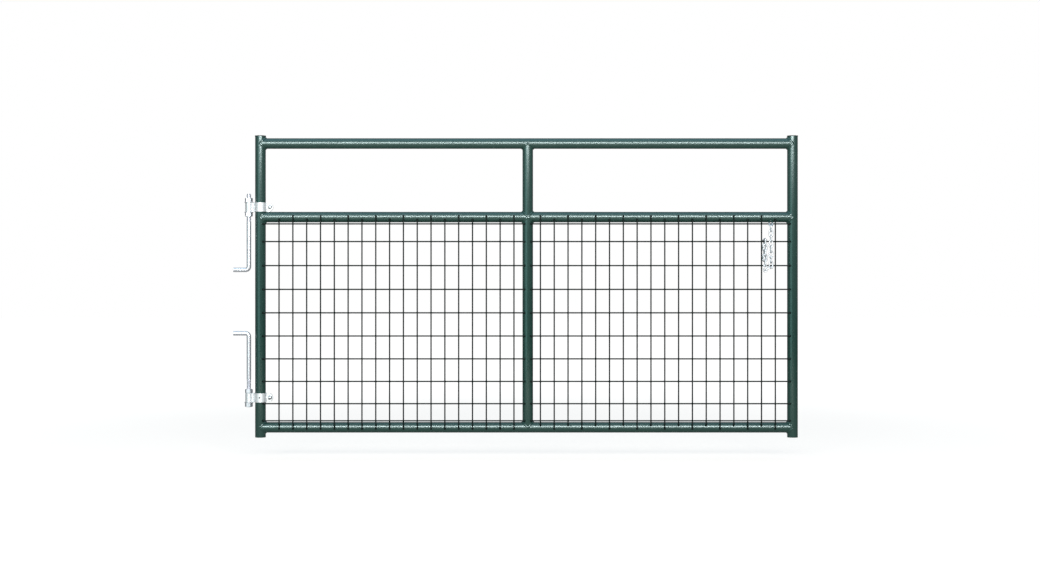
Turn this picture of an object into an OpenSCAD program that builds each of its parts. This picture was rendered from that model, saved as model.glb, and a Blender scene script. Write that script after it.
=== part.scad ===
// Wire-filled steel tube field gate on two bolt-on strap hinges.
// The leaf stands in the XZ plane, faces -Y and runs along +X from its hinge side.
// The origin is the centre of the end face of the lower hinge bolt's arm, which is
// where the bolt comes out of the gate post. The leaf swings about the hinge axis,
// a vertical line through both hinge bolts.

/* [Leaf] */
// Width over the two end stiles
leaf_w = 2286; // [1400:1:3700]
// Height over the end stiles and their caps
leaf_h = 1272; // [900:1:1600]
// How far the stiles and their caps stand over the top rail
stile_over_rail = 12.25; // [11:0.25:60]
// Distance between the centre lines of the top and middle rails
upper_bay_h = 310; // [150:0.5:450]
// How far the stiles reach below the bottom rail
stile_under_rail = 19.75; // [8:0.25:90]
// How far the centre upright stands off the middle of the leaf, towards the latch side
upright_offset = 5.4; // [-200:0.1:200]

/* [Frame tube] */
// Outside diameter of the frame tube
tube_d = 44.5; // [38:0.1:60]
// Wall thickness of the frame tube
tube_wall = 1.65; // [1.2:0.05:3]
// Gap left between two pieces that a weld joins
weld_gap = 0.3; // [0.2:0.05:0.5]

/* [Welds] */
// Length of a weld bead's legs along the two tubes that it joins
weld_leg = 4.5; // [2:0.5:4.5]
// Height of a bead over the line between its edges, where the tubes meet squarely
weld_crown = 0.5; // [0.2:0.1:1]
// Height of a bead over the line between its edges, where the tubes are flush
weld_cover = 1.5; // [1:0.1:2]
// Gap between a bead and the tubes
weld_seat = 0.3; // [0.3:0.05:0.5]

/* [Stile caps] */
// Thickness of the cap's lip on top of the tube
cap_lip_t = 4; // [2:0.5:8]
// How far the lip stands out past the tube
cap_lip_out = 1.2; // [0.5:0.1:3]
// Length of the plug inside the tube
cap_plug_l = 18; // [8:1:40]
// How far the middle of the cap stands higher than its edge
cap_dome = 1.8; // [0.5:0.1:1.9]
// Clearance of the plug in the tube
cap_clearance = 0.3; // [0.2:0.05:0.5]

/* [Mesh] */
// Diameter of the mesh wire
wire_d = 5.7; // [3:0.1:7]
// Distance between neighbouring upright wires
column_pitch = 58; // [40:0.1:120]
// Distance of the nearest upright wire from the centre upright, on the hinge side
hinge_first_bay = 58; // [40:0.1:120]
// Distance of the nearest upright wire from the centre upright, on the latch side
latch_first_bay = 53; // [40:0.1:120]
// Least distance of the last upright wire from the end stile's axis
column_margin = 60; // [45:1:120]
// Distance between neighbouring level wires, rounded to fill the height evenly
row_pitch = 97.6; // [60:0.1:160]
// Mean height of the first and last row of the mesh, which are narrower
edge_row_h = 73; // [40:0.5:120]
// How much higher each row is than the row below it
row_growth = 1.25; // [0:0.05:3]
// Gap between a rail and the level wire nearest to it
edge_wire_gap = 4.2; // [2:0.1:20]
// How far an upright wire runs past, or stops short of, a rail's centre line
wire_end = 7.5; // [2:0.5:12]
// Depth to which two crossing wires are welded into each other
cross_weld = 1; // [0.5:0.1:1.5]

/* [Hinge straps] */
// Height of a hinge strap
strap_h = 38; // [25:1:60]
// Thickness of the strap
strap_t = 4.8; // [3:0.1:6]
// Clearance of the strap round the frame tube
strap_clearance = 0.3; // [0.2:0.05:0.5]
// Gap between the two ears that the strap bolt draws together
ear_gap = 5; // [2:0.5:12]
// How far the ears reach past the frame tube
ear_reach = 30; // [26:0.5:50]
// Distance of the strap bolt from the end of the ears
ear_bolt_inset = 12; // [11:0.5:20]
// Outside bend radius where the band turns into an ear
ear_bend = 4; // [2:0.5:8]
// Shortest distance between the outsides of the band and of the hinge eye
neck_l = 6.4; // [3:0.1:15]
// Gap between the strap's two legs in the neck
neck_gap = 1.7; // [0.8:0.1:4]
// Gap between the middle rail and the strap that sits on it
strap_seat_gap = 0.3; // [0.3:0.1:10]
// Gap between the lower strap and the level wire just below it
strap_wire_gap = 2.5; // [0.3:0.1:10]
// Diameter of the hole in the front of the lower strap
strap_hole_d = 6.5; // [4:0.5:10]

/* [Strap bolts] */
// Diameter of the carriage bolts in the strap ears
strap_bolt_d = 8; // [6:0.5:10]
// Clearance between bolt and hole or nut
bolt_clearance = 0.3; // [0.2:0.05:0.5]
// How far the bolt stands out past its nut
strap_bolt_out = 5; // [2:0.5:15]

/* [Hinge bolts] */
// Diameter of the hinge bolt rod
rod_d = 19; // [12:0.5:25]
// Running clearance between rod and hinge eye, on the diameter
eye_clearance = 1.5; // [0.6:0.1:1.8]
// Length of the upper bolt's shaft from the arm's centre line to its tip
upper_shaft_l = 320; // [200:1:400]
// Length of the lower bolt's shaft from the arm's centre line to its tip
lower_shaft_l = 311; // [200:1:400]
// Length of the arm from its end face to the shaft's centre line
arm_l = 65; // [50:1:200]
// Radius of the bend's centre line
bend_r = 14; // [13:1:50]
// Thickness of a washer
washer_t = 3; // [2:0.5:5]
// End play between a washer or nut and the strap
end_play = 0.4; // [0.3:0.1:1]
// How far the upper bolt's tip stands out past its nut
upper_tip_out = 17.5; // [1:0.5:30]
// How far the lower bolt's tip stands out past its nut
lower_tip_out = 1.5; // [1:0.5:30]

/* [Latch chain] */
// Diameter of the chain's wire
link_d = 5.5; // [4:0.1:7]
// Inside length of a link
link_inside_l = 22.4; // [20:0.1:40]
// Inside width of a link
link_inside_w = 7.6; // [7:0.1:14]
// Gap left between links that bear on each other
link_gap = 0.3; // [0.2:0.05:0.5]
// Links that hang down from the middle rail
drop_links = 9; // [7:2:15]
// Links that hang free behind the mesh
tail_links = 4; // [1:1:8]
// Gap between the rising strand and the upright wire beside it
chain_wire_gap = 2; // [0.3:0.1:6]

/* [Hidden] */
$fn = 64;

frame_green = [0.16, 0.28, 0.25];
cap_black = [0.08, 0.11, 0.10];
galvanized = [0.78, 0.79, 0.82];
zinc = [0.70, 0.73, 0.76];

// Frame: heights are measured from the foot of the leaf, widths from the hinge stile's axis.
tube_r = tube_d / 2;
span = leaf_w - tube_d;
upright_x = span / 2 + upright_offset;
top_z = leaf_h - stile_over_rail - tube_r;
middle_z = top_z - upper_bay_h;
bottom_z = stile_under_rail + tube_r;

// Weld round the end of a tube: the angle between two of its sections, the points of a
// section, and the angle off the top at which a bead is clear of what sits on the rail
weld_step = 10;
weld_points = 8;
weld_clear = ceil(acos(1 - weld_leg / tube_r) / weld_step) * weld_step;

// Mesh: the upright wires lie on the front of the rails, the level wires behind them.
wire_r = wire_d / 2;
column_y = -(tube_r + wire_r + weld_gap);
row_y = column_y + wire_d - cross_weld;
hinge_columns = column_count(upright_x - hinge_first_bay);
latch_columns = column_count(span - upright_x - latch_first_bay);
row_top = middle_z - tube_r - edge_wire_gap - wire_r;
row_bottom = bottom_z + tube_r + edge_wire_gap + wire_r;
inner_h = row_top - row_bottom - 2 * edge_row_h;
inner_rows = max(1, round(inner_h / row_pitch));
row_heights = concat([row_bottom],
    [for (i = [0:inner_rows]) row_bottom + edge_row_h - row_growth
        + i * inner_h / inner_rows - row_growth * i * (inner_rows - i) / 2],
    [row_top]);
row_inset = sqrt(pow(tube_r + weld_gap, 2) - pow(row_y + wire_r, 2));

// Hinge strap: one flat bar bent into a band round the stile and an eye round the rod.
rod_r = rod_d / 2;
band_r = tube_r + strap_clearance + strap_t;
eye_r = rod_r + eye_clearance / 2 + strap_t;
hinge_offset = band_r + neck_l + eye_r;
ear_half = ear_gap / 2 + strap_t;
ear_end = tube_r + ear_reach;
seam_lap = 3;
seam_trim = 0.03;
upper_strap_z = middle_z + tube_r + strap_seat_gap + strap_h / 2;
lower_strap_z = row_heights[1] + wire_r + strap_wire_gap + strap_h / 2;

// Carriage bolt, in the usual proportions to its diameter
head_r = 1.13 * strap_bolt_d;
head_h = 0.58 * strap_bolt_d;
strap_nut_af = 1.6 * strap_bolt_d;
strap_nut_t = 0.84 * strap_bolt_d;
strap_bolt_x = ear_end - ear_bolt_inset;

// Heavy hex nut and washer, in the usual proportions to the rod
nut_af = 1.5 * rod_d;
nut_t = 0.86 * rod_d;
washer_r = 0.97 * rod_d;
nut_clearance = 0.15;
stack_top = strap_h / 2 + end_play + washer_t + nut_clearance + nut_t;

lower_arm_z = lower_strap_z - stack_top - lower_tip_out + lower_shaft_l;
upper_arm_z = upper_strap_z + stack_top + upper_tip_out - upper_shaft_l;

// Chain: places of the links' crowns, the two ends of a link's centre line.
link_w = link_inside_w + 2 * link_d;
crown_l = link_inside_l + link_d;
crown_r = (link_inside_w + link_d) / 2;
seat = link_d + link_gap;
link_pitch = crown_l - seat;
chain_row_z = row_heights[len(row_heights) - 2];
strand_y = row_y - crown_l / 2;
tail_y = row_y + crown_l / 2;
rail_link_angle = 38;
rail_crown_y = -(tube_r + weld_gap + link_d / 2) * cos(rail_link_angle);
rail_crown_z = middle_z - (tube_r + weld_gap + link_d / 2) * sin(rail_link_angle);
rail_link_tilt = asin((rail_crown_y - strand_y) / crown_l);
drop_crown_z = rail_crown_z - crown_l * cos(rail_link_tilt);
drop_foot_z = drop_crown_z - (drop_links - 1) * link_pitch;
over_z = chain_row_z + wire_r + link_gap + link_d / 2;
rise_links = 2 * round((over_z - drop_foot_z) / link_pitch / 2);
rise_foot_z = over_z + seat - crown_l - (rise_links - 1) * link_pitch;
turn_drop = drop_foot_z - rise_foot_z;
turn_tilt = asin(turn_drop / crown_l);
rise_x = upright_x + latch_first_bay + (latch_columns - 2) * column_pitch
    + wire_r + chain_wire_gap + link_w / 2;
drop_x = rise_x + crown_l * cos(turn_tilt);

// Moves a piece from the leaf's own frame to the part's frame
module place() {
    translate([arm_l + hinge_offset, 0, -lower_arm_z]) children();
}

// Round tube standing on its end
module tube(length) {
    difference() {
        cylinder(r = tube_r, h = length);
        translate([0, 0, -1]) cylinder(r = tube_r - tube_wall, h = length + 2);
    }
}

// Room that an upright tube at x needs in a rail's end
module upright_room(x) {
    translate([x, 0, -1]) cylinder(r = tube_r + weld_gap, h = leaf_h + 2);
}

// Room that a rail at height z needs in an upright's end
module rail_room(z) {
    translate([-1, 0, z]) rotate([0, 90, 0]) cylinder(r = tube_r + weld_gap, h = span + 2);
}

module stile(x) {
    place() color(frame_green) translate([x, 0, 0]) tube(leaf_h - cap_lip_t);
}

// Rail saddle-cut to the two end stiles
module rail(z) {
    place() color(frame_green) difference() {
        translate([0, 0, z]) rotate([0, 90, 0]) tube(span);
        upright_room(0);
        upright_room(span);
    }
}

// Centre upright saddle-cut to the rails below and above it
module upright(z_low, z_high) {
    place() color(frame_green) difference() {
        translate([upright_x, 0, z_low]) tube(z_high - z_low);
        rail_room(z_low);
        rail_room(z_high);
    }
}

function unit(v) = v / norm(v);

// Point moved onto the skin that a weld leaves round the standing tube, or the level one
function on_standing(p) = let (k = (tube_r + weld_seat) / norm([p.x, p.y])) [k * p.x, k * p.y, p.z];
function on_level(p) = let (k = (tube_r + weld_seat) / norm([p.y, p.z])) [p.x, k * p.y, k * p.z];

// Section of the weld between a standing tube and the end of a level one that runs to +X,
// at angle t from the front: from its root along the standing tube to its edge, over its
// crown to the other edge, and back along the level tube
function weld_section(t) =
    let (s = sin(t), c = cos(t), side = abs(s), up = s < 0 ? -1 : 1,
        flush = side < sin(weld_step / 2),
        seam = tube_r * [side, -c, s],
        out = [side, -c, 0] + [0, -c, s],
        up_way = flush ? [-1, 0, 0] / sqrt(2) : unit([-c * c, -c * side, up]),
        along_way = flush ? [1, 0, 0] : unit([1, -c * side, -c * c * up]),
        along = flush ? tube_r * sin(weld_step) + weld_leg / sqrt(2) : weld_leg,
        first = on_standing(seam + weld_leg * up_way),
        last = on_level(seam + along * along_way),
        rise = weld_crown + (weld_cover - weld_crown) * c * c)
    concat([seam + weld_seat * out / (1 + c * c), on_standing(seam + weld_leg / 2 * up_way)],
        [for (i = [0:weld_points - 4]) let (u = i / (weld_points - 4))
            first + (last - first) * u + unit(out) * rise * 4 * u * (1 - u)],
        [on_level(seam + along / 2 * along_way)]);

// Weld bead round the end of a level tube that runs to +X from the standing tube, left
// out up to bare degrees on each side of the top
module weld(bare) {
    turns = (360 - 2 * bare) / weld_step;
    last = bare > 0 ? turns : turns - 1;
    points = [for (i = [0:last]) each weld_section(90 + bare + i * weld_step)];
    count = len(points);
    sides = [for (i = [0:turns - 1]) for (k = [0:weld_points - 1])
        let (a = i * weld_points + k, b = i * weld_points + (k + 1) % weld_points,
            c = (a + weld_points) % count, d = (b + weld_points) % count)
        each [[a, d, b], [a, c, d]]];
    crest = weld_points / 2;
    ends = bare > 0 ? [for (k = [1:weld_points - 2])
        let (a = (crest + k) % weld_points, b = (a + 1) % weld_points, o = count - weld_points)
        each [[crest, a, b], [o + crest, o + b, o + a]]] : [];
    polyhedron(points, concat(sides, ends));
}

// Welds of the three rails to the stile at x, the rails on its left (-1) or right (1).
// The middle one leaves the rail's top bare for the strap where strapped is true.
module stile_welds(x, side, strapped) {
    place() color(frame_green) for (z = [bottom_z, middle_z, top_z])
        translate([x, 0, z]) mirror([side < 0 ? 1 : 0, 0, 0])
            weld(strapped && z == middle_z ? weld_clear : 0);
}

// Welds of the centre upright to the rails: on top of two of them and under two
module centre_welds() {
    place() color(frame_green) translate([upright_x, 0, 0]) {
        for (z = [bottom_z, middle_z]) translate([0, 0, z]) rotate([0, -90, 0]) weld(0);
        for (z = [middle_z, top_z]) translate([0, 0, z]) rotate([0, 90, 0]) weld(0);
    }
}

// Domed plastic cap with a plug inside the tube
module stile_cap(x) {
    plug_r = tube_r - tube_wall - cap_clearance;
    lip_r = tube_r + cap_lip_out;
    dome_r = (pow(lip_r, 2) + pow(cap_dome, 2)) / (2 * cap_dome);
    place() color(cap_black) translate([x, 0, leaf_h - cap_lip_t]) union() {
        translate([0, 0, -cap_plug_l]) cylinder(r = plug_r, h = cap_plug_l);
        rotate_extrude() intersection() {
            square([lip_r, cap_lip_t]);
            translate([0, cap_lip_t - dome_r]) circle(r = dome_r, $fn = 360);
        }
    }
}

module wire(length) {
    cylinder(r = wire_r, h = length);
}

// Upright wires that stand in a width, the first of them at its start
function column_count(width) = floor((width - column_margin) / column_pitch) + 1;

// Mesh panel between two standing tubes. Its upright wires are numbered from the centre
// upright outwards (-1 or 1). Every other one is cut short at the middle rail, and also at
// the bottom rail where foot_trim is true.
module mesh_panel(left_x, right_x, side, first_bay, columns, foot_trim) {
    place() color(frame_green) union() {
        for (i = [1:columns]) {
            odd = i % 2 == 1;
            head = middle_z + (odd ? wire_end : -wire_end);
            foot = bottom_z + (odd && foot_trim ? wire_end : -wire_end);
            x = upright_x + side * (first_bay + (i - 1) * column_pitch);
            translate([x, column_y, foot]) wire(head - foot);
        }
        for (z = row_heights) translate([left_x + row_inset, row_y, z])
            rotate([0, 90, 0]) wire(right_x - left_x - 2 * row_inset);
    }
}

// Radius of the arc that touches two circles a distance apart from outside and stays
// half_gap away from the line through their centres
function neck_radius(ra, rb, distance, half_gap) =
    let (k0 = (pow(distance, 2) + pow(ra, 2) - pow(rb, 2)) / (2 * distance),
        k1 = (ra - rb) / distance,
        b = ra - k0 * k1 - half_gap,
        c = pow(ra, 2) - pow(k0, 2) - pow(half_gap, 2))
    -c / (b + sqrt(pow(b, 2) + pow(k1, 2) * c));

// Stretch of the strap bent round a centre, between two angles, with the bar's side
// nearer to the centre at inner_r. A lapped bend reaches a little into its neighbours
// and is a hair smaller all round, so that all stretches fuse into one bar.
module strap_bend(centre, inner_r, from_angle, to_angle, lapped) {
    lap = lapped ? seam_lap : 0;
    trim = lapped ? seam_trim : 0;
    translate(centre) rotate([0, 0, from_angle - lap])
        rotate_extrude(angle = to_angle - from_angle + 2 * lap)
            translate([inner_r + trim, trim - strap_h / 2])
                square([strap_t - 2 * trim, strap_h - 2 * trim]);
}

// Flat ear with a round end and a bolt hole, from start_x to the strap's end
module strap_ear(start_x) {
    round_r = 0.52 * strap_h;
    round_x = ear_end - round_r;
    translate([0, ear_half, 0]) rotate([90, 0, 0]) linear_extrude(strap_t) difference() {
        intersection() {
            translate([start_x, -strap_h / 2]) square([ear_end - start_x + 1, strap_h]);
            union() {
                translate([start_x - 1, -strap_h / 2 - 1])
                    square([round_x - start_x + 1, strap_h + 2]);
                translate([round_x, 0]) circle(r = round_r);
            }
        }
        translate([strap_bolt_x, 0]) circle(d = strap_bolt_d + 2 * bolt_clearance);
    }
}

// Flat bar bent to a band, a neck and an eye, seen from above, the stile's axis at the origin
module bent_strap() {
    neck_r = neck_radius(band_r, eye_r, hinge_offset, strap_t + neck_gap / 2);
    neck_x = (pow(hinge_offset, 2) + pow(band_r + neck_r, 2) - pow(eye_r + neck_r, 2))
        / (2 * hinge_offset);
    neck_y = sqrt(pow(band_r + neck_r, 2) - pow(neck_x, 2));
    band_neck_angle = atan2(neck_y, neck_x);
    eye_neck_angle = atan2(neck_y, hinge_offset - neck_x);
    bend_y = ear_half + ear_bend;
    bend_x = sqrt(pow(band_r + ear_bend, 2) - pow(bend_y, 2));
    ear_angle = atan2(bend_y, bend_x);
    strap_bend([-hinge_offset, 0], eye_r - strap_t, eye_neck_angle, 360 - eye_neck_angle, false);
    for (side = [0, 1]) mirror([0, side, 0]) {
        strap_bend([-neck_x, neck_y], neck_r, eye_neck_angle - 180, -band_neck_angle, true);
        strap_bend([0, 0], band_r - strap_t, ear_angle, 180 - band_neck_angle, false);
        strap_bend([bend_x, bend_y], ear_bend, 180 + ear_angle, 270, true);
        strap_ear(bend_x);
    }
}

// Formed hinge strap whose middle is at height z
module hinge_strap(z, hole_d) {
    place() color(galvanized) translate([0, 0, z]) difference() {
        bent_strap();
        if (hole_d > 0) rotate([90, 0, 0]) cylinder(d = hole_d, h = band_r + 1);
    }
}

// Hex nut lying flat, its corners bevelled by turning
module hex_nut(af, thickness, bore_r) {
    face_r = 0.48 * af;
    waist_r = face_r + thickness / 2 / tan(30);
    difference() {
        intersection() {
            cylinder(r = af / 2 / cos(30), h = thickness, $fn = 6);
            rotate_extrude() polygon([[0, 0], [face_r, 0], [waist_r, thickness / 2],
                [face_r, thickness], [0, thickness]]);
        }
        translate([0, 0, -1]) cylinder(r = bore_r, h = thickness + 2);
    }
}

// Carriage bolt through the ears, its domed head on the front
module strap_bolt(z) {
    dome_r = (pow(head_r, 2) + pow(head_h, 2)) / (2 * head_h);
    grip = 2 * ear_half + strap_nut_t + 2 * bolt_clearance + strap_bolt_out;
    place() color(zinc) translate([strap_bolt_x, -ear_half - bolt_clearance, z])
        rotate([-90, 0, 0]) union() {
            cylinder(d = strap_bolt_d, h = grip + bolt_clearance);
            intersection() {
                translate([0, 0, dome_r - head_h]) sphere(r = dome_r);
                translate([0, 0, -head_h]) cylinder(r = head_r, h = head_h);
            }
        }
}

module strap_nut(z) {
    place() color(zinc) translate([strap_bolt_x, ear_half + bolt_clearance, z])
        rotate([-90, 0, 0])
            hex_nut(strap_nut_af, strap_nut_t, strap_bolt_d / 2 + nut_clearance);
}

// L-shaped hinge bolt: the arm comes from the post, the shaft stands up (1) or down (-1)
module hinge_bolt(arm_z, shaft_l, way) {
    tip = rod_r / 6;
    place() color(galvanized) translate([-hinge_offset, 0, arm_z])
        mirror([0, 0, way < 0 ? 1 : 0]) union() {
            translate([-arm_l, 0, 0]) rotate([0, 90, 0]) cylinder(r = rod_r, h = arm_l - bend_r);
            translate([-bend_r, 0, bend_r]) mirror([0, 0, 1]) rotate([90, 0, 0])
                rotate_extrude(angle = 90) translate([bend_r, 0]) circle(r = rod_r);
            translate([0, 0, bend_r]) cylinder(r = rod_r, h = shaft_l - bend_r - tip);
            translate([0, 0, shaft_l - tip]) cylinder(r1 = rod_r, r2 = rod_r - tip, h = tip);
        }
}

// Nut on a hinge bolt with its lower face at height z
module rod_nut(z) {
    place() color(galvanized) translate([-hinge_offset, 0, z])
        hex_nut(nut_af, nut_t, rod_r + nut_clearance);
}

// Washer on a hinge bolt with its lower face at height z
module rod_washer(z) {
    place() color(galvanized) translate([-hinge_offset, 0, z]) difference() {
        cylinder(r = washer_r, h = washer_t);
        translate([0, 0, -1]) cylinder(r = rod_r + 2 * nut_clearance, h = washer_t + 2);
    }
}

// Chain link along Z, its centre at the origin and its plane across Y
module link() {
    half = link_inside_l / 2 - link_inside_w / 2;
    union() {
        for (s = [0, 1]) mirror([0, 0, s]) translate([0, 0, half]) rotate([90, 0, 0])
            rotate_extrude(angle = 180) translate([crown_r, 0]) circle(d = link_d, $fn = 24);
        for (s = [-1, 1]) translate([s * crown_r, 0, -half])
            cylinder(d = link_d, h = 2 * half, $fn = 24);
    }
}

// Straight strand that hangs from z, the first link's upper crown, link by link
module strand(x, y, z, links, first_turn) {
    for (i = [0:links - 1])
        translate([x, y, z - crown_l / 2 - i * link_pitch])
            rotate([0, 0, first_turn + 90 * i]) link();
}

module latch_chain() {
    place() color(zinc) {
        // The first link is welded flat to the middle rail and leans forward
        translate([drop_x, rail_crown_y, rail_crown_z]) rotate([-rail_link_tilt, 0, 0])
            translate([0, 0, -crown_l / 2]) link();
        strand(drop_x, strand_y, drop_crown_z + seat, drop_links - 1, 90);
        // One slanting link turns the chain back up
        translate([drop_x, strand_y, drop_foot_z + seat]) rotate([0, 90 - turn_tilt, 0])
            translate([0, 0, -crown_l / 2]) rotate([0, 0, 90]) link();
        strand(rise_x, strand_y, over_z + seat, rise_links, 90);
        // One link lies over the level wire, and the tail hangs behind it
        translate([rise_x, row_y, over_z]) rotate([90, 0, 0]) link();
        strand(rise_x, tail_y, over_z + seat, tail_links, 90);
    }
}

stile(0);  // hinge_stile
stile(span);  // latch_stile
rail(top_z);  // top_rail
rail(middle_z);  // middle_rail
rail(bottom_z);  // bottom_rail
upright(middle_z, top_z);  // upper_upright
upright(bottom_z, middle_z);  // lower_upright
mesh_panel(0, upright_x, -1, hinge_first_bay, hinge_columns, false);  // hinge_side_mesh
mesh_panel(upright_x, span, 1, latch_first_bay, latch_columns, true);  // latch_side_mesh
stile_cap(0);  // hinge_stile_cap
stile_cap(span);  // latch_stile_cap
hinge_strap(upper_strap_z, 0);  // upper_hinge_strap
hinge_strap(lower_strap_z, strap_hole_d);  // lower_hinge_strap
strap_bolt(upper_strap_z);  // upper_strap_bolt
strap_bolt(lower_strap_z);  // lower_strap_bolt
strap_nut(upper_strap_z);  // upper_strap_nut
strap_nut(lower_strap_z);  // lower_strap_nut
hinge_bolt(upper_arm_z, upper_shaft_l, 1);  // upper_hinge_bolt
hinge_bolt(lower_arm_z, lower_shaft_l, -1);  // lower_hinge_bolt
rod_nut(upper_strap_z + stack_top - nut_t);  // upper_top_nut
rod_nut(upper_strap_z - stack_top);  // upper_bottom_nut
rod_nut(lower_strap_z + strap_h / 2 + end_play);  // lower_top_nut
rod_nut(lower_strap_z - stack_top);  // lower_bottom_nut
rod_washer(upper_strap_z + strap_h / 2 + end_play);  // upper_top_washer
rod_washer(upper_strap_z - strap_h / 2 - end_play - washer_t);  // upper_bottom_washer
rod_washer(lower_strap_z - strap_h / 2 - end_play - washer_t);  // lower_bottom_washer
latch_chain();
stile_welds(0, 1, true);  // hinge_stile_welds
stile_welds(span, -1, false);  // latch_stile_welds
centre_welds();  // upright_welds
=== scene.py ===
# Looks of a wire-filled field gate that hangs on two strap hinges
import math

import bmesh
import bpy
from mathutils import Matrix, Vector


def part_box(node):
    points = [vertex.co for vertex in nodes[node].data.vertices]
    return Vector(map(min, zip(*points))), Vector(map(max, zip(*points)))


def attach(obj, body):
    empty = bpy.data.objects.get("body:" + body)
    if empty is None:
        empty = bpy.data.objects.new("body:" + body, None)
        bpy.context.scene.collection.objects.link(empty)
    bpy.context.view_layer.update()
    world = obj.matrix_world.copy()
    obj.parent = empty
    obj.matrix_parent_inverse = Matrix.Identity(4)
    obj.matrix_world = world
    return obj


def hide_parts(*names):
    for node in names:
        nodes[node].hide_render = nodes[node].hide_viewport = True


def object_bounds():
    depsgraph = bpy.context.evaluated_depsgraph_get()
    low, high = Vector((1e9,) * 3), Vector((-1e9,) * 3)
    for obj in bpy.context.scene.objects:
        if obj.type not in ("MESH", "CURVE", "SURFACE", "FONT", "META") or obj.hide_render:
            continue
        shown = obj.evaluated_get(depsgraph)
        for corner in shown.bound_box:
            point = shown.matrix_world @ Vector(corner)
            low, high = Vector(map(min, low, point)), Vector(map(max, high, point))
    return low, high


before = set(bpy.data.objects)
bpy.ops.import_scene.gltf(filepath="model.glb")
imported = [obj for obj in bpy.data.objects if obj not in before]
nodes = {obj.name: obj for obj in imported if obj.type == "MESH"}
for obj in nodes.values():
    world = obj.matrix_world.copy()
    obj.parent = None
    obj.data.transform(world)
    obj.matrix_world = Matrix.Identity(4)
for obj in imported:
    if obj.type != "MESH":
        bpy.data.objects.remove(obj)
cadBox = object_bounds()
print("frame loaded:", len(nodes), "parts")


def addNode(tree, kind, inputs=None, **settings):
    # An input is linked where its value is a socket, and set where it is a constant
    node = tree.nodes.new(kind)
    for name, value in settings.items():
        setattr(node, name, value)
    for key, value in (inputs or {}).items():
        if isinstance(value, bpy.types.NodeSocket):
            tree.links.new(value, node.inputs[key])
        else:
            node.inputs[key].default_value = value
    return node


def calculate(tree, operation, *values):
    return addNode(tree, "ShaderNodeMath", dict(enumerate(values)), operation=operation).outputs[0]


def objectPlace(tree):
    return addNode(tree, "ShaderNodeTexCoord").outputs["Object"]


def addNoise(tree, place, scale, detail, roughness):
    return addNode(tree, "ShaderNodeTexNoise", {"Vector": place, "Scale": scale, "Detail": detail,
                                                "Roughness": roughness})


def newGroup(name, inputs, outputs):
    tree = bpy.data.node_groups.new(name, "ShaderNodeTree")
    for label, kind, value in inputs:
        socket = tree.interface.new_socket(name=label, in_out="INPUT", socket_type=kind)
        socket.default_value = value
    for label, kind in outputs:
        tree.interface.new_socket(name=label, in_out="OUTPUT", socket_type=kind)
    start = tree.nodes.new("NodeGroupInput")
    end = tree.nodes.new("NodeGroupOutput")
    return tree, start.outputs, end.inputs


def linkAll(tree, ends, results):
    for label, result in results.items():
        tree.links.new(result, ends[label])


def shadeColor(tree, color, centred, spread):
    # The colour made lighter and darker by a mask that lies around zero
    gain = calculate(tree, "MULTIPLY_ADD", centred, spread, 1.0)
    return addNode(tree, "ShaderNodeVectorMath", {0: color, "Scale": gain},
                   operation="SCALE").outputs[0]


def newShader(name, constants):
    material = bpy.data.materials.new(name)
    material.use_nodes = True
    tree = material.node_tree
    tree.nodes.clear()
    shader = addNode(tree, "ShaderNodeBsdfPrincipled", constants)
    addNode(tree, "ShaderNodeOutputMaterial", {"Surface": shader.outputs["BSDF"]})
    return material, shader


def finishPiece(bm, name, material, body, replaced=(), smoothAngle=35):
    bmesh.ops.recalc_face_normals(bm, faces=bm.faces)
    mesh = bpy.data.meshes.new(name)
    bm.to_mesh(mesh)
    bm.free()
    mesh.polygons.foreach_set("use_smooth", [True] * len(mesh.polygons))
    mesh.set_sharp_from_angle(angle=math.radians(smoothAngle))
    mesh.materials.append(material)
    piece = bpy.data.objects.new(name, mesh)
    bpy.context.scene.collection.objects.link(piece)
    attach(piece, body)
    if replaced:
        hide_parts(*replaced)
    return piece


powder = {
    # scale, detail and roughness of each noise; the scale of the peel is set per paint
    "drift": (5.0, 3.0, 0.55),
    "speck": (140.0, 2.0, 0.6),
    "wave": (60.0, 1.0, 0.5),
    "peel": (1.0, 0.5),
    "speckShare": 0.3,
    "waveShare": 0.7,
    "glossSwing": 0.12,
}


def makePaintGroup():
    # Powder coat: fine orange peel, longer waves and a slight drift of tone and gloss
    tree, start, end = newGroup("powderCoat", [
        ("Color", "NodeSocketColor", (0.5, 0.5, 0.5, 1)),
        ("Tone Spread", "NodeSocketFloat", 0.1),
        ("Roughness", "NodeSocketFloat", 0.3),
        ("Peel Scale", "NodeSocketFloat", 400),
        ("Drawn", "NodeSocketFloat", 0.0),
    ], [("Color", "NodeSocketColor"), ("Roughness", "NodeSocketFloat"),
        ("Height", "NodeSocketFloat"), ("Drawn", "NodeSocketFloat")])
    place = objectPlace(tree)
    drift = addNoise(tree, place, *powder["drift"]).outputs["Fac"]
    speck = addNoise(tree, place, *powder["speck"]).outputs["Fac"]
    both = calculate(tree, "MULTIPLY", drift, 1 - powder["speckShare"])
    both = calculate(tree, "MULTIPLY_ADD", speck, powder["speckShare"], both)
    centred = calculate(tree, "SUBTRACT", both, 0.5)
    wave = addNoise(tree, place, *powder["wave"]).outputs["Fac"]
    peel = addNoise(tree, place, start["Peel Scale"], *powder["peel"]).outputs["Fac"]
    swing = powder["glossSwing"]
    linkAll(tree, end, {
        "Color": shadeColor(tree, start["Color"], centred, start["Tone Spread"]),
        "Roughness": calculate(tree, "MULTIPLY_ADD", centred, swing, start["Roughness"]),
        "Height": calculate(tree, "MULTIPLY_ADD", wave, powder["waveShare"], peel),
        "Drawn": calculate(tree, "MULTIPLY_ADD", centred, swing, start["Drawn"]),
    })
    return tree


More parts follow.
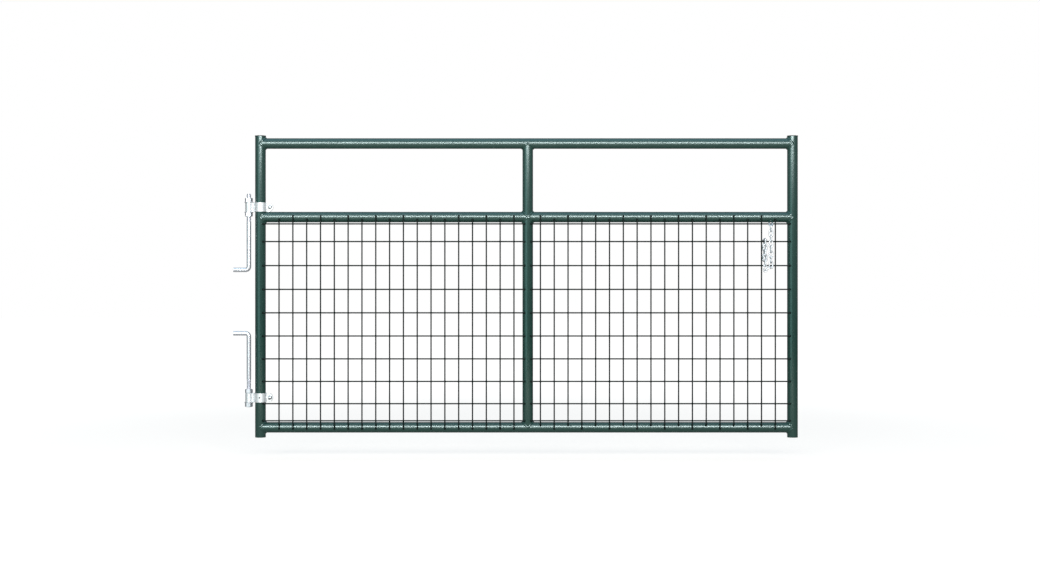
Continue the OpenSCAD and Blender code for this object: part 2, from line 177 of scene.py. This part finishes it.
galvanizing = {
    # scale, detail and roughness of each noise
    "warp": (90.0, 2.0, 0.5),
    "cloud": (28.0, 4.0, 0.6),
    "grit": (700.0, 2.0, 0.5),
    "warpReach": (0.008, 0.008, 0.008),
    "cloudShare": 0.5,
    "cloudRelief": 2.0,
}


def makeZincGroup():
    # Zinc coat: crystals of slightly different tone and gloss over soft clouds
    tree, start, end = newGroup("zincCoat", [
        ("Color", "NodeSocketColor", (0.7, 0.7, 0.7, 1)),
        ("Crystals Per Metre", "NodeSocketFloat", 150),
        ("Tone Spread", "NodeSocketFloat", 0.15),
        ("Roughness", "NodeSocketFloat", 0.4),
        ("Roughness Spread", "NodeSocketFloat", 0.15),
    ], [("Color", "NodeSocketColor"), ("Roughness", "NodeSocketFloat"),
        ("Height", "NodeSocketFloat")])
    place = objectPlace(tree)
    warp = addNoise(tree, place, *galvanizing["warp"]).outputs["Color"]
    warped = addNode(tree, "ShaderNodeVectorMath", {0: warp, 1: galvanizing["warpReach"], 2: place},
                     operation="MULTIPLY_ADD").outputs[0]
    crystals = addNode(tree, "ShaderNodeTexVoronoi",
                       {"Vector": warped, "Scale": start["Crystals Per Metre"]}, feature="F1")
    cell = addNode(tree, "ShaderNodeSeparateColor", {"Color": crystals.outputs["Color"]}).outputs
    cloud = addNoise(tree, place, *galvanizing["cloud"]).outputs["Fac"]
    mixed = calculate(tree, "MULTIPLY", cell["Red"], 1 - galvanizing["cloudShare"])
    mixed = calculate(tree, "MULTIPLY_ADD", cloud, galvanizing["cloudShare"], mixed)
    centred = calculate(tree, "SUBTRACT", mixed, 0.5)
    gloss = calculate(tree, "SUBTRACT", cell["Green"], 0.5)
    grit = addNoise(tree, place, *galvanizing["grit"]).outputs["Fac"]
    linkAll(tree, end, {
        "Color": shadeColor(tree, start["Color"], centred, start["Tone Spread"]),
        "Roughness": calculate(tree, "MULTIPLY_ADD", gloss, start["Roughness Spread"],
                               start["Roughness"]),
        "Height": calculate(tree, "MULTIPLY_ADD", cloud, galvanizing["cloudRelief"], grit),
    })
    return tree


paintGroup = makePaintGroup()
zincGroup = makeZincGroup()

framePaint = {
    "color": (0.0110, 0.046, 0.0350, 1),
    "gloss": {"IOR": 1.6, "Specular IOR Level": 0.85, "Specular Tint": (0.82, 1.0, 1.0, 1)},
}
# Paint on the tubes: the fine lines of the drawn steel spread a highlight across the tube
drawnPaint = {
    "group": paintGroup,
    "coat": {"Color": framePaint["color"], "Tone Spread": 0.16, "Roughness": 0.215,
             "Peel Scale": 420, "Drawn": 0.9},
    "relief": {"Strength": 0.05, "Distance": 0.0002},
    "surface": {**framePaint["gloss"], "Anisotropic Rotation": 0.25},
}
finishes = {
    "railPaint": {
        **drawnPaint, "tubeAxis": {"X": 1.0},
        "parts": ("top_rail", "middle_rail", "bottom_rail"),
    },
    "stilePaint": {
        **drawnPaint, "tubeAxis": {"Z": 1.0},
        "parts": ("hinge_stile", "latch_stile", "upper_upright", "lower_upright"),
    },
    "weldPaint": {
        "group": paintGroup,
        "coat": {"Color": framePaint["color"], "Tone Spread": 0.2, "Roughness": 0.2,
                 "Peel Scale": 260},
        "relief": {"Strength": 0.5, "Distance": 0.0008},
        "surface": framePaint["gloss"],
        "parts": ("hinge_stile_welds", "latch_stile_welds", "upright_welds"),
    },
    "wirePaint": {
        "group": paintGroup,
        "coat": {"Color": (0.004, 0.011, 0.009, 1), "Tone Spread": 0.2, "Roughness": 0.36,
                 "Peel Scale": 600},
        "relief": {"Strength": 0.25, "Distance": 0.0001},
        "surface": {"Specular IOR Level": 0.15},
        "parts": ("hinge_side_mesh", "latch_side_mesh"),
    },
    "capPlastic": {
        "group": paintGroup,
        "coat": {"Color": (0.008, 0.016, 0.014, 1), "Tone Spread": 0.1, "Roughness": 0.48,
                 "Peel Scale": 1400},
        "relief": {"Strength": 0.35, "Distance": 0.0001},
        "surface": {"Specular IOR Level": 0.35},
        "parts": ("hinge_stile_cap", "latch_stile_cap"),
    },
    "strapZinc": {
        "group": zincGroup,
        "coat": {"Color": (0.85, 0.87, 0.88, 1), "Crystals Per Metre": 130, "Tone Spread": 0.06,
                 "Roughness": 0.52, "Roughness Spread": 0.06},
        "relief": {"Strength": 0.06, "Distance": 0.0002},
        "surface": {"Metallic": 0.6},
        "parts": ("upper_hinge_strap", "lower_hinge_strap"),
    },
    "rodZinc": {
        "group": zincGroup,
        "coat": {"Color": (0.89, 0.895, 0.95, 1), "Crystals Per Metre": 170, "Tone Spread": 0.05,
                 "Roughness": 0.30, "Roughness Spread": 0.04},
        "relief": {"Strength": 0.04, "Distance": 0.0001},
        "surface": {"Metallic": 0.75},
        "parts": ("upper_hinge_bolt", "lower_hinge_bolt", "upper_top_nut", "upper_bottom_nut",
                  "lower_top_nut", "lower_bottom_nut", "upper_top_washer", "upper_bottom_washer",
                  "lower_bottom_washer"),
    },
    "fastenerZinc": {
        "group": zincGroup,
        "coat": {"Color": (0.70, 0.72, 0.74, 1), "Crystals Per Metre": 500, "Tone Spread": 0.05,
                 "Roughness": 0.26, "Roughness Spread": 0.04},
        "relief": {"Strength": 0.06, "Distance": 0.0001},
        "surface": {"Metallic": 0.85},
        "parts": ("upper_strap_bolt", "lower_strap_bolt", "upper_strap_nut", "lower_strap_nut"),
    },
    "chainZinc": {
        "group": zincGroup,
        "coat": {"Color": (0.76, 0.79, 0.82, 1), "Crystals Per Metre": 320, "Tone Spread": 0.10,
                 "Roughness": 0.36, "Roughness Spread": 0.06},
        "relief": {"Strength": 0.12, "Distance": 0.0002},
        "surface": {"Metallic": 0.75},
        "parts": ("latch_chain",),
    },
}


def makeFinish(name, look):
    # Coat and relief over a surface, on each part that has this finish
    material, shader = newShader(name, look["surface"])
    tree = material.node_tree
    coat = addNode(tree, "ShaderNodeGroup", node_tree=look["group"])
    for key, value in look["coat"].items():
        coat.inputs[key].default_value = value
    relief = addNode(tree, "ShaderNodeBump", {"Height": coat.outputs["Height"], **look["relief"]})
    linkAll(tree, shader.inputs, {"Base Color": coat.outputs["Color"],
                                  "Roughness": coat.outputs["Roughness"],
                                  "Normal": relief.outputs["Normal"]})
    if "tubeAxis" in look:
        along = addNode(tree, "ShaderNodeCombineXYZ", look["tubeAxis"])
        linkAll(tree, shader.inputs, {"Anisotropic": coat.outputs["Drawn"],
                                      "Tangent": along.outputs["Vector"]})
    for part in look["parts"]:
        for materialSlot in nodes[part].material_slots:
            materialSlot.material = material
    return material, shader, coat


finished = {name: makeFinish(name, look) for name, look in finishes.items()}
materials = {name: made[0] for name, made in finished.items()}
print("finishes placed")

chainPaint = {
    "paintedLength": 0.0120,
    "fade": 0.0012,
    "ragged": (300.0, 2.0, 0.5),
    "raggedReach": 0.003,
    "roughness": 0.2,
}


def paintFirstLink():
    # The frame's paint runs over the end of the link that is welded to the rail
    material, shader, zinc = finished["chainZinc"]
    tree = material.node_tree
    paint = addNode(tree, "ShaderNodeGroup", node_tree=paintGroup)
    paint.inputs["Color"].default_value = framePaint["color"]
    paint.inputs["Roughness"].default_value = chainPaint["roughness"]
    place = objectPlace(tree)
    ragged = addNoise(tree, place, *chainPaint["ragged"]).outputs["Fac"]
    height = addNode(tree, "ShaderNodeSeparateXYZ", {0: place}).outputs["Z"]
    edge = calculate(tree, "MULTIPLY_ADD", ragged, chainPaint["raggedReach"], height)
    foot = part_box("latch_chain")[1].z - chainPaint["paintedLength"]
    mask = addNode(tree, "ShaderNodeMapRange",
                   {"Value": edge, "From Min": foot,
                    "From Max": foot + chainPaint["fade"]}).outputs["Result"]
    for kind, output, entry in (("RGBA", "Color", "Base Color"),
                                ("FLOAT", "Roughness", "Roughness")):
        blend = addNode(tree, "ShaderNodeMix", data_type=kind)
        linkAll(tree, blend.inputs, {"Factor": mask, "A": zinc.outputs[output],
                                     "B": paint.outputs[output]})
        tree.links.new(blend.outputs["Result"], shader.inputs[entry])
    bare = calculate(tree, "SUBTRACT", 1.0, mask)
    metal = calculate(tree, "MULTIPLY", bare, finishes["chainZinc"]["surface"]["Metallic"])
    tree.links.new(metal, shader.inputs["Metallic"])


paintFirstLink()

threadForm = {
    # up in pitches, inward in depths
    "outline": [(0, 0), (0.14, 0), (0.50, 1), (0.64, 1), (1, 0)],
    "pitchesBelow": 1.5,
    "spareTurns": 3,
    "runOutPitches": 1.5,
    "weldWithin": 1e-6,
    "cutWithin": 1e-7,
}


def threadShell(bm, thread, radius, low, high, chamfer):
    # One pitch of the thread's outline, wound up the rod along +Z and cut at both ends
    pitch, depth, steps = thread["pitch"], thread["depth"], thread["steps"]
    turns = math.ceil((high - low) / pitch) + threadForm["spareTurns"]
    floor = low - threadForm["pitchesBelow"] * pitch
    verts = [bm.verts.new((radius - depth * inward, 0, floor + pitch * up))
             for up, inward in threadForm["outline"]]
    edges = [bm.edges.new(pair) for pair in zip(verts, verts[1:])]
    bmesh.ops.spin(bm, geom=verts + edges, cent=(0, 0, 0), axis=(0, 0, 1),
                   dvec=(0, 0, pitch / steps), angle=math.tau * turns, steps=steps * turns,
                   use_merge=False)
    bmesh.ops.remove_doubles(bm, verts=bm.verts, dist=threadForm["weldWithin"])
    for level, way in ((high, 1), (low, -1)):
        bmesh.ops.bisect_plane(bm, geom=bm.verts[:] + bm.edges[:] + bm.faces[:],
                               dist=threadForm["cutWithin"], plane_co=(0, 0, level),
                               plane_no=(0, 0, way), clear_outer=True)
    # The thread runs out at its foot and is chamfered at the tip
    for vert in bm.verts:
        reach = Vector(vert.co[:2]).length
        runOut = min(1, (vert.co.z - low) / (threadForm["runOutPitches"] * pitch))
        wanted = radius - (radius - reach) * runOut
        wanted = min(wanted, radius - max(0, chamfer - (high - vert.co.z)))
        vert.co.xy *= wanted / reach


def openLoop(bm, level):
    return [edge for edge in bm.edges if edge.is_boundary
            and all(abs(vert.co.z - level) < threadForm["weldWithin"] for vert in edge.verts)]


def threadedShaft(bm, style, radius, length):
    # Thread up to the closed tip, and the edges of a plain ring one pitch under it
    threadLow = length - style["threadLength"]
    threadShell(bm, style["thread"], radius, threadLow, length, style["chamfer"])
    bmesh.ops.holes_fill(bm, edges=openLoop(bm, length), sides=0)
    plain = threadLow - style["thread"]["pitch"]
    ring = bmesh.ops.create_circle(bm, cap_ends=False, radius=radius, segments=style["sides"])
    bmesh.ops.translate(bm, verts=ring["verts"], vec=(0, 0, plain))
    ringEdges = list(dict.fromkeys(edge for vert in ring["verts"] for edge in vert.link_edges))
    bmesh.ops.bridge_loops(bm, edges=openLoop(bm, threadLow) + ringEdges)
    return ringEdges, plain


def drawOut(bm, edges, vec):
    grown = bmesh.ops.extrude_edge_only(bm, edges=edges)["geom"]
    verts = [g for g in grown if isinstance(g, bmesh.types.BMVert)]
    bmesh.ops.translate(bm, verts=verts, vec=vec)
    return [g for g in grown if isinstance(g, bmesh.types.BMEdge)
            and all(vert in verts for vert in g.verts)]


hingeBolt = {
    "bendRadius": 0.014,
    "bendSteps": 14,
    "threadLength": 0.118,
    "thread": {"pitch": 0.00254, "depth": 0.00150, "steps": 24},
    "chamfer": 0.0022,
    "sides": 48,
}


def makeHingeBolt(name, node, turned):
    # Threaded tip, plain shaft, bend and arm; built with the tip up
    low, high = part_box(node)
    radius = (high.y - low.y) / 2
    axisX = high.x - radius
    bend = hingeBolt["bendRadius"]
    bm = bmesh.new()
    ringEdges, plain = threadedShaft(bm, hingeBolt, radius, high.z - low.z - radius)
    ringEdges = drawOut(bm, ringEdges, (0, 0, bend - plain))
    loop = list(dict.fromkeys(vert for edge in ringEdges for vert in edge.verts))
    spun = bmesh.ops.spin(bm, geom=loop + ringEdges, cent=(-bend, 0, bend), axis=(0, 1, 0),
                          angle=math.pi / 2, steps=hingeBolt["bendSteps"], use_merge=False)
    last = [g for g in spun["geom_last"] if isinstance(g, bmesh.types.BMEdge)]
    armEnd = drawOut(bm, last, (bend - (axisX - low.x), 0, 0))
    bmesh.ops.holes_fill(bm, edges=armEnd, sides=0)
    if turned:
        bmesh.ops.rotate(bm, verts=bm.verts, cent=(0, 0, 0),
                         matrix=Matrix.Rotation(math.pi, 3, "X"))
    armZ = high.z - radius if turned else low.z + radius
    bmesh.ops.translate(bm, verts=bm.verts, vec=(axisX, 0, armZ))
    finishPiece(bm, name, materials["rodZinc"], "hinge_bolts", (node,))


makeHingeBolt("upperThreadedHingeBolt", "upper_hinge_bolt", False)
makeHingeBolt("lowerThreadedHingeBolt", "lower_hinge_bolt", True)
print("hinge bolts threaded")

strapBolt = {
    "shank": 0.008,
    "headHeight": 0.00464,
    "headRings": 6,
    "threadLength": 0.018,
    "thread": {"pitch": 0.00125, "depth": 0.00070, "steps": 16},
    "chamfer": 0.0010,
    "sides": 32,
}


def makeStrapBolt(name, node):
    # Mushroom head at the front, threaded end at the back; built upright, then laid down
    low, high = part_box(node)
    radius = strapBolt["shank"] / 2
    headRadius = (high.x - low.x) / 2
    headHeight = strapBolt["headHeight"]
    bm = bmesh.new()
    plain = threadedShaft(bm, strapBolt, radius, high.y - low.y - headHeight)[1]
    # Outline of the shank's foot and the dome, turned about the axis
    domeRadius = (headRadius ** 2 + headHeight ** 2) / (2 * headHeight)
    outline = [(radius, plain), (radius, 0), (headRadius, 0)]
    for ring in range(1, strapBolt["headRings"] + 1):
        reach = headRadius * (1 - ring / strapBolt["headRings"])
        outline.append((reach, domeRadius - headHeight
                        - math.sqrt(domeRadius ** 2 - reach ** 2)))
    verts = [bm.verts.new((reach, 0, up)) for reach, up in outline]
    edges = [bm.edges.new(pair) for pair in zip(verts, verts[1:])]
    bmesh.ops.spin(bm, geom=verts + edges, cent=(0, 0, 0), axis=(0, 0, 1), angle=math.tau,
                   steps=strapBolt["sides"], use_merge=True)
    bmesh.ops.remove_doubles(bm, verts=bm.verts, dist=threadForm["weldWithin"])
    bmesh.ops.rotate(bm, verts=bm.verts, cent=(0, 0, 0),
                     matrix=Matrix.Rotation(-math.pi / 2, 3, "X"))
    bmesh.ops.translate(bm, verts=bm.verts,
                        vec=((low.x + high.x) / 2, low.y + headHeight, (low.z + high.z) / 2))
    finishPiece(bm, name, materials["fastenerZinc"], "gate_leaf", (node,))


makeStrapBolt("upperThreadedStrapBolt", "upper_strap_bolt")
makeStrapBolt("lowerThreadedStrapBolt", "lower_strap_bolt")
print("strap bolts threaded")

meshWelds = {
    "crossingSize": (0.0048, 0.0015, 0.0048),
    "columnSize": (0.0046, 0.0022, 0.0050),
    "rowSize": (0.0050, 0.0036, 0.0046),
    "columnSetback": 0.0045,
    "rowSetback": 0.0005,
    "rounds": (8, 5),
    "sameWire": 0.01,
    "slack": 0.0001,
}


def groupSpans(values, gap):
    # Lowest and highest value of each group of near neighbours
    spans = []
    for value in sorted(values):
        if spans and value - spans[-1][1] < gap:
            spans[-1][1] = value
        else:
            spans.append([value, value])
    return spans


def middles(spans):
    return [sum(span) / 2 for span in spans]


def nuggetMesh(size):
    around, up = meshWelds["rounds"]
    bm = bmesh.new()
    bmesh.ops.create_uvsphere(bm, u_segments=around, v_segments=up, radius=1)
    bmesh.ops.rotate(bm, verts=bm.verts, cent=(0, 0, 0),
                     matrix=Matrix.Rotation(math.pi / 2, 3, "X"))
    bmesh.ops.scale(bm, verts=bm.verts, vec=size)
    mesh = bpy.data.meshes.new("nugget")
    bm.to_mesh(mesh)
    bm.free()
    return mesh


def addNuggets(bm, size, places):
    nugget = nuggetMesh(size)
    for place in places:
        first = len(bm.verts)
        bm.from_mesh(nugget)
        bm.verts.ensure_lookup_table()
        for vert in bm.verts[first:]:
            vert.co += Vector(place)
    bpy.data.meshes.remove(nugget)


def makeMeshWelds(name, node):
    # Small upset welds where the wires cross and where they end on the tubes
    low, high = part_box(node)
    near, slack = meshWelds["sameWire"], meshWelds["slack"]
    points = [vert.co for vert in nodes[node].data.vertices]
    rowSpans = groupSpans([point.z for point in points if point.x < low.x + slack], near)
    rows = middles(rowSpans)
    wire = rowSpans[0][1] - rowSpans[0][0]
    aboveRows = [point.x for point in points if point.z > max(rows) + wire]
    columns = middles(groupSpans(aboveRows, near))
    columnY, rowY = low.y + wire / 2, high.y - wire / 2
    setback = meshWelds["columnSetback"]
    columnEnds = []
    for x in columns:
        levels = [point.z for point in points if abs(point.x - x) < wire / 2 + slack]
        columnEnds += [(x, columnY + wire / 2, z)
                       for z in (max(levels) - setback, min(levels) + setback)]
    rowEnds = [(x, rowY, z) for z in rows
               for x in (low.x + meshWelds["rowSetback"], high.x - meshWelds["rowSetback"])]
    bm = bmesh.new()
    addNuggets(bm, meshWelds["crossingSize"],
               [(x, (columnY + rowY) / 2, z) for x in columns for z in rows])
    addNuggets(bm, meshWelds["columnSize"], columnEnds)
    addNuggets(bm, meshWelds["rowSize"], rowEnds)
    print(name, len(columns), "columns,", len(rows), "rows,", len(bm.faces), "faces")
    finishPiece(bm, name, materials["wirePaint"], "gate_leaf", smoothAngle=80)


makeMeshWelds("hingeSideMeshWelds", "hinge_side_mesh")
makeMeshWelds("latchSideMeshWelds", "latch_side_mesh")

stage = {
    "floorCentre": (1.2, 0.0),
    "floorDrop": 0.10,
    "floorSize": 60,
    "floorColor": (0.52, 0.46, 0.41, 1),
    "glowCentre": (1.2, 0.4),
    "nearGlow": 0.76,
    "farGlow": 0.97,
    "glowReach": (1.5, 5.0),
    "skyColor": (0.80, 0.90, 1.0, 1),
    "skyStrength": 0.13,
    "glossShare": 0.12,
    "lamps": [
        # name, place, looks at, width, height, power, colour
        ("keyLamp", (1.1, -6.7, 2.08), (1.1, 0, 0.25), 5.2, 1.15, 425, (1.0, 1.0, 0.99)),
        ("sidePanel", (-2.6, -5.8, 0.55), (1.2, 0, 0.2), 4.2, 2.6, 34, (0.55, 1.0, 0.95)),
        ("topLamp", (1.2, -1.5, 4.8), (1.2, -1.5, 0.3), 8.0, 7.0, 140, (0.50, 0.78, 1.0)),
    ],
    "cameraPlace": (1.2073, -6.5, 0.1930),
    "lens": 53.4,
}


def makeFloorMaterial(level):
    # The floor turns to white away from the gate, so that only the shadow stands out
    material = bpy.data.materials.new("paleFloor")
    material.use_nodes = True
    tree = material.node_tree
    tree.nodes.clear()
    away = addNode(tree, "ShaderNodeVectorMath",
                   {0: objectPlace(tree), 1: (*stage["glowCentre"], level)},
                   operation="DISTANCE").outputs["Value"]
    start, end = stage["glowReach"]
    fade = addNode(tree, "ShaderNodeMapRange",
                   {"Value": away, "From Min": start, "From Max": end,
                    "To Min": stage["nearGlow"], "To Max": stage["farGlow"]},
                   interpolation_type="SMOOTHSTEP").outputs["Result"]
    seen = addNode(tree, "ShaderNodeLightPath").outputs["Is Camera Ray"]
    glow = calculate(tree, "MULTIPLY", seen, fade)
    matte = addNode(tree, "ShaderNodeBsdfDiffuse", {"Color": stage["floorColor"]})
    light = addNode(tree, "ShaderNodeEmission", {"Strength": glow})
    both = addNode(tree, "ShaderNodeAddShader", {0: matte.outputs[0], 1: light.outputs[0]})
    addNode(tree, "ShaderNodeOutputMaterial", {"Surface": both.outputs[0]})
    return material


def makeFloor():
    level = cadBox[0].z - stage["floorDrop"]
    bm = bmesh.new()
    bmesh.ops.create_grid(bm, x_segments=1, y_segments=1, size=stage["floorSize"] / 2)
    bmesh.ops.translate(bm, verts=bm.verts, vec=(*stage["floorCentre"], level))
    mesh = bpy.data.meshes.new("studioFloor")
    bm.to_mesh(mesh)
    bm.free()
    mesh.materials.append(makeFloorMaterial(level))
    floorPiece = bpy.data.objects.new("studioFloor", mesh)
    bpy.context.scene.collection.objects.link(floorPiece)


def whiteMask(tree):
    # How much of the white backdrop a ray sees: straight, through glass or in gloss
    path = addNode(tree, "ShaderNodeLightPath").outputs
    gloss = calculate(tree, "MULTIPLY", path["Is Glossy Ray"], stage["glossShare"])
    seen = calculate(tree, "MAXIMUM", path["Is Camera Ray"], gloss)
    return calculate(tree, "MAXIMUM", seen, path["Is Transmission Ray"])


def makeWorld():
    world = bpy.data.worlds.new("studioSky")
    bpy.context.scene.world = world
    world.use_nodes = True
    tree = world.node_tree
    tree.nodes.clear()
    sky = addNode(tree, "ShaderNodeBackground",
                  {"Color": stage["skyColor"], "Strength": stage["skyStrength"]})
    white = addNode(tree, "ShaderNodeBackground", {"Color": (1, 1, 1, 1), "Strength": 1.0})
    mix = addNode(tree, "ShaderNodeMixShader",
                  {0: whiteMask(tree), 1: sky.outputs[0], 2: white.outputs[0]})
    addNode(tree, "ShaderNodeOutputWorld", {"Surface": mix.outputs[0]})


def placeAimed(name, data, place, target):
    thing = bpy.data.objects.new(name, data)
    bpy.context.scene.collection.objects.link(thing)
    thing.location = place
    thing.rotation_mode = "QUATERNION"
    thing.rotation_quaternion = (Vector(target) - Vector(place)).to_track_quat("-Z", "Y")
    return thing


def makeLamps():
    for name, place, target, width, height, power, color in stage["lamps"]:
        lamp = bpy.data.lights.new(name, "AREA")
        lamp.shape = "RECTANGLE"
        lamp.size, lamp.size_y = width, height
        lamp.energy = power
        lamp.color = color
        placeAimed(name, lamp, place, target)


def makeCamera():
    data = bpy.data.cameras.new("viewCamera")
    data.lens = stage["lens"]
    place = Vector(stage["cameraPlace"])
    ahead = place + Vector((0, 1, 0))
    bpy.context.scene.camera = placeAimed("viewCamera", data, place, ahead)


makeFloor()
makeWorld()
makeLamps()
makeCamera()
bpy.context.scene.view_settings.view_transform = "Standard"
print("floor, light and camera ready")
